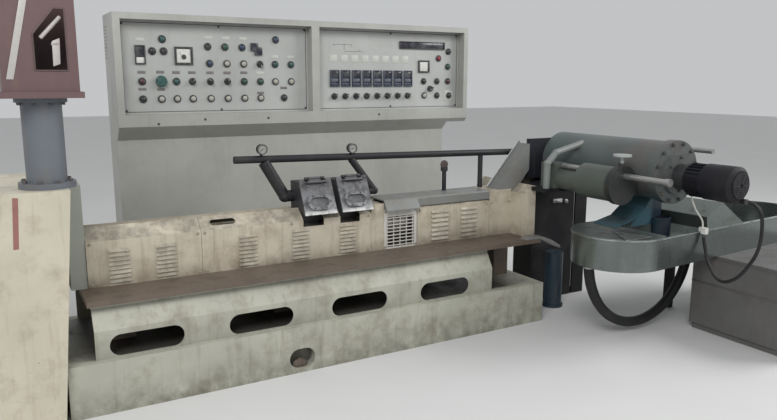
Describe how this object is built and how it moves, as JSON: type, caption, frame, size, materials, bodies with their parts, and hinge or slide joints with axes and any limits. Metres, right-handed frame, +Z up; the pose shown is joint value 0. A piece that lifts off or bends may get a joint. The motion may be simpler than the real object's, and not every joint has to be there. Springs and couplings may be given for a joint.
{
  "type": "plastic extruder line",
  "caption": "Vented single-screw plastic extruder on a slotted base, with feed hopper, control console, die-face pelletizer and water trough.",
  "frame": {"origin": "on the floor, below the barrel axis, between the vented covers", "axes": "+X along the barrel from the feed end to the die, +Y to the control console behind, +Z up"},
  "size_m": [6.0502, 2.96, 2.08],
  "materials": {
    "bed_paint": "worn grey-green machine enamel",
    "shelf_steel": "oil-stained dark steel plate",
    "barrel_steel": "machined steel, heat-darkened",
    "guard_paint": "dirty cream machine enamel with brown stains",
    "grille_paint": "off-white painted bars",
    "grey_sheet": "grey painted sheet, dusty",
    "heater_sheet": "band-heater sheet, straw tinted",
    "vent_iron": "dark cast body",
    "vent_steel": "bright worn steel plate",
    "pipe_black": "near-black painted pipe",
    "console_paint": "grey-cream cabinet enamel",
    "panel_paint": "light grey-cream panel enamel",
    "tower_paint": "cream enamel with spots of dirt",
    "column_paint": "grey-green enamel",
    "cylinder_paint": "grey-blue enamel",
    "hopper_paint": "brown-purple primer on sheet steel",
    "motor_paint": "dull blue-grey motor enamel",
    "die_steel": "dark slate-blue block",
    "stand_black": "black painted section steel",
    "blue_enamel": "blue-green enamel",
    "drum_paint": "grey-green enamel, oily",
    "motor_black": "black ribbed motor housing",
    "rod_steel": "ground steel rod",
    "stainless": "brushed stainless sheet",
    "tank_paint": "pale grey painted sheet",
    "hose_rubber": "matt black rubber hose",
    "clip_white": "off-white coated clip and tube",
    "cable_rubber": "black rubber cable sheath"
  },
  "bodies": {
    "line": {"plinth": "bed_paint", "front_slotted_panel": "bed_paint", "rear_slotted_panel": "bed_paint", "bed_shelf": "shelf_steel", "barrel": "barrel_steel", "barrel_cover_1": "guard_paint", "barrel_cover_2": "guard_paint", "barrel_cover_3": "guard_paint", "filler_strip": "guard_paint", "blower_grille": "grille_paint", "guard_cap": "grey_sheet", "rear_guard": "guard_paint", "end_cover": "guard_paint", "end_bulkhead": "guard_paint", "end_hood": "grey_sheet", "melt_adapter": "heater_sheet", "vent_boxes": "vent_iron", "vacuum_pipes": "pipe_black", "console_cabinet": "console_paint", "console_box": "console_paint", "left_control_panel": "panel_paint", "right_control_panel": "panel_paint", "feed_tower": "tower_paint", "feed_column": "column_paint", "feed_cylinder": "cylinder_paint", "feed_hopper": "hopper_paint", "drive_base": "bed_paint", "drive_motor": "motor_paint", "die_block": "die_steel", "die_stand": "stand_black", "blue_cylinder": "blue_enamel", "cutter_chamber": "drum_paint", "cutter_motor": "motor_black", "guide_rods": "rod_steel", "clamp_cylinder": "drum_paint", "water_arm": "stainless", "pellet_chute": "blue_enamel", "pellet_trough": "stainless", "trough_covers": "stainless", "water_tank": "tank_paint", "trough_stand": "stand_black", "drain_hose": "hose_rubber", "cable_clip": "clip_white", "motor_cable": "cable_rubber"},
    "vent_lid_1": {"vent_lid_1": "vent_steel"},
    "vent_lid_2": {"vent_lid_2": "vent_steel"},
    "clamp_handwheel": {"clamp_handwheel": "drum_paint"}
  },
  "joints": [
    {"name": "vent_lid_1_hinge", "type": "hinge", "parent": "line", "child": "vent_lid_1", "pos_m": [0.082, -0.05806, 1.03101], "axis": [-1, 0, 0], "range_deg": [0, 100]},
    {"name": "vent_lid_2_hinge", "type": "hinge", "parent": "line", "child": "vent_lid_2", "pos_m": [0.322, -0.05806, 1.03101], "axis": [-1, 0, 0], "range_deg": [0, 100]},
    {"name": "clamp_handwheel_turn", "type": "hinge", "parent": "line", "child": "clamp_handwheel", "pos_m": [1.69, -0.925, 1.13], "axis": [0, 0, 1], "range_deg": [-180, 180]}
  ]
}
